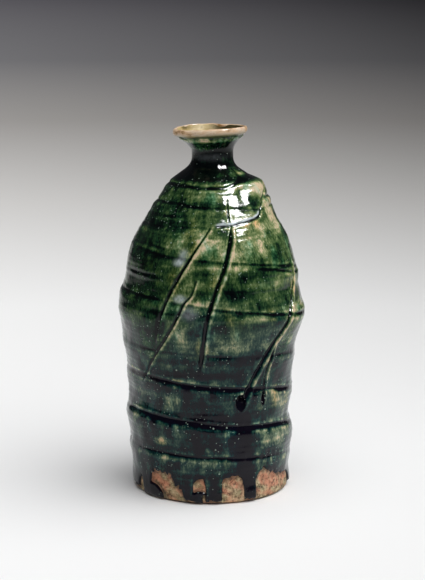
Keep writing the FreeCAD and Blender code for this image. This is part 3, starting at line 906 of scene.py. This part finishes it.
def lap():
    """The lap of clay, lying between the wall's own clay and the glaze over it."""
    phi, z = np.meshgrid(np.linspace(*LAP_ANGLES, 60), np.linspace(*LAP_HEIGHTS, 30))
    across = (phi - LAP_ANGLES[0]) / (LAP_ANGLES[1] - LAP_ANGLES[0])
    upwards = (z - LAP_HEIGHTS[0]) / (LAP_HEIGHTS[1] - LAP_HEIGHTS[0])
    edge = smooth(0, 0.12, across) * smooth(0, 0.12, 1 - across)
    edge = edge * smooth(0, 0.15, upwards) * smooth(0, 0.15, 1 - upwards)
    low = wall_at(z) - 1.2
    bulge = wall_at(z) + sample(soft_relief, phi, z) - HIDDEN - low
    high = np.maximum(low + 0.3, low + 0.3 + bulge * edge)
    rows, cols = phi.shape
    upper = leaned(high, phi, z)
    lower = leaned(low, phi, z)
    verts = np.concatenate([upper.reshape(-1, 3), lower.reshape(-1, 3)])
    count = rows * cols
    faces = []
    for i in range(rows - 1):
        for j in range(cols - 1):
            a = i * cols + j
            faces.append([a, a + 1, a + cols + 1, a + cols])
            faces.append([count + a + cols, count + a + cols + 1, count + a + 1, count + a])
    border = list(range(cols)) + [i * cols + cols - 1 for i in range(1, rows)]
    border += [(rows - 1) * cols + j for j in range(cols - 2, -1, -1)]
    border += [i * cols for i in range(rows - 2, 0, -1)]
    for a, b in zip(border, border[1:] + border[:1]):
        faces.append([b, a, count + a, count + b])
    mesh = bpy.data.meshes.new("lap_clay")
    mesh.from_pydata(verts.tolist(), [], faces)
    mesh.polygons.foreach_set("use_smooth", [True] * len(mesh.polygons))
    return placed(bpy.data.objects.new("lap_clay", mesh))


green = green_glaze_material()
bare_clay = clay_material("bare_stoneware")
slip_clay = clay_material("luting_slip_clay")
for piece, node, material, slot in [
    (glaze_coat(), "outer_glaze_coat", green, "green_glaze"),
    (lower_body(), "lower_body", bare_clay, "stoneware"),
    (upper_body(), "upper_body", bare_clay, "stoneware"),
    (slip_ring("belly_luting_slip", *BELLY_SEAM), "belly_luting_slip", slip_clay, "luting_slip"),
    (slip_ring("neck_luting_slip", *NECK_SEAM), "neck_luting_slip", slip_clay, "luting_slip"),
    (neck(), "neck_and_mouth", lip_material(), "stoneware"),
    (lap(), "shoulder_lap", bare_clay, "stoneware"),
    (lining(), "mouth_glaze_lining", lining_material(), "clear_glaze"),
]:
    piece.data.materials.append(material)
    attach(piece, "root")
    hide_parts(node)

# ---------------------------------------------------------------- floor, light and camera


def floor_disc():
    """A wide round floor, of rings that grow outwards."""
    mesh = bpy.data.meshes.new("floor")
    points = [(0, 0, 0)]
    faces = []
    cols = 64
    for k, radius in enumerate([0.3, 0.8, 1.5, 3.0, 6.0, 12.0, 24.0]):
        for j in range(cols):
            a = 2 * np.pi * j / cols
            points.append((radius * np.cos(a), radius * np.sin(a), 0))
            nxt = (j + 1) % cols
            if k == 0:
                faces.append([0, 1 + j, 1 + nxt])
            else:
                base = 1 + (k - 1) * cols
                faces.append([base + j, base + cols + j, base + cols + nxt, base + nxt])
    mesh.from_pydata(points, [], faces)
    return placed(bpy.data.objects.new("floor", mesh))


def studio_floor_material():
    """Painted light and shade on the floor: pale near the bottle and darker far off, leaning brighter to
    the left, and dark in front.
    """
    material, nodes, links, shader = new_material("studio_floor")
    coords = nodes.new("ShaderNodeTexCoord").outputs["Object"]
    length = nodes.new("ShaderNodeVectorMath")
    length.operation = "LENGTH"
    links.new(coords, length.inputs[0])
    reach = length.outputs["Value"]
    # Painted falloff: the floor darkens with distance, and leans brighter to the left below.
    decades = math(nodes, links, "LOGARITHM", math(nodes, links, "ADD", reach, 1.0), 10.0)
    far = math(nodes, links, "DIVIDE", decades, 1.4)
    shade = ramp(nodes, [
        (0.0, (0.86, 0.86, 0.86)),
        (0.146, (0.80, 0.80, 0.795)),
        (0.264, (0.59, 0.58, 0.565)),
        (0.397, (0.325, 0.312, 0.30)),
        (0.55, (0.158, 0.156, 0.162)),
        (0.877, (0.072, 0.069, 0.078)),
    ])
    links.new(far, shade.inputs[0])
    split = nodes.new("ShaderNodeSeparateXYZ")
    links.new(coords, split.inputs[0])
    side = math(nodes, links, "DIVIDE", split.outputs["X"], math(nodes, links, "ADD", reach, 1.07))
    side = math(nodes, links, "MAXIMUM", math(nodes, links, "MINIMUM", side, 0.16), -0.16)
    lean = math(nodes, links, "MULTIPLY", math(nodes, links, "MULTIPLY", far, 6.2), side)
    # Painted shade: the floor in front of the bottle is darkened, so the glaze reflects less of it.
    front = nodes.new("ShaderNodeMapRange")
    front.interpolation_type = "SMOOTHSTEP"
    links.new(split.outputs["Y"], front.inputs["Value"])
    for socket, value in (("From Min", -0.85), ("From Max", -0.19), ("To Min", 0.2), ("To Max", 1.0)):
        front.inputs[socket].default_value = value
    graded = nodes.new("ShaderNodeVectorMath")
    graded.operation = "SCALE"
    links.new(shade.outputs[0], graded.inputs[0])
    leaned_grey = math(nodes, links, "SUBTRACT", 1.0, lean)
    scale = math(nodes, links, "MULTIPLY", leaned_grey, front.outputs["Result"])
    links.new(scale, graded.inputs["Scale"])
    links.new(graded.outputs["Vector"], shader.inputs["Base Color"])
    shader.inputs["Roughness"].default_value = 0.9
    shader.inputs["Specular IOR Level"].default_value = 0.1
    return material


def lamp(name, kind, place, aim, energy, sees, **settings):
    """A light that is seen either by matt surfaces or in reflections."""
    data = bpy.data.lights.new(name, kind)
    data.energy = energy
    for key, value in settings.items():
        setattr(data, key, value)
    light = bpy.data.objects.new(name, data)
    light.location = place
    light.rotation_euler = (Vector(aim) - Vector(place)).to_track_quat("-Z", "Y").to_euler()
    light.visible_diffuse = sees == "matt"
    light.visible_glossy = sees == "reflections"
    placed(light)


def panel(name, place, energy, sees, width, height):
    lamp(name, "AREA", place, MIDDLE, energy, sees, shape="RECTANGLE", size=width, size_y=height)


MIDDLE = (0, 0, 0.15)
CAMERA_LENS = 105.7
CAMERA_PLACE = (0.0006, -1.069, 0.333)
CAMERA_DIP = 10.9  # degrees below level

floor = floor_disc()
floor.data.materials.append(studio_floor_material())
panel("key", (0.70, -0.34, 1.42), 16, "matt", 2.0, 1.8)
panel("softbox", (0.655, -0.315, 1.23), 46, "reflections", 0.5, 0.38)
lamp("overhead", "SUN", (0.35, -0.3, 1.8), MIDDLE, 2.2, "matt", angle=np.radians(80))
panel("left_fill", (-1.15, 0.2, 0.6), 0.8, "matt", 0.8, 0.8)

world = bpy.data.worlds.new("studio")
world.use_nodes = True
world.node_tree.nodes["Background"].inputs["Color"].default_value = (0.05, 0.05, 0.055, 1)
world.node_tree.nodes["Background"].inputs["Strength"].default_value = 1.0
bpy.context.scene.world = world

camera_data = bpy.data.cameras.new("camera")
camera_data.lens = CAMERA_LENS
camera_data.clip_end = 60
camera = bpy.data.objects.new("camera", camera_data)
camera.location = CAMERA_PLACE
camera.rotation_euler = (np.radians(90 - CAMERA_DIP), 0, 0)
placed(camera)
bpy.context.scene.camera = camera
bpy.context.scene.view_settings.view_transform = "Standard"
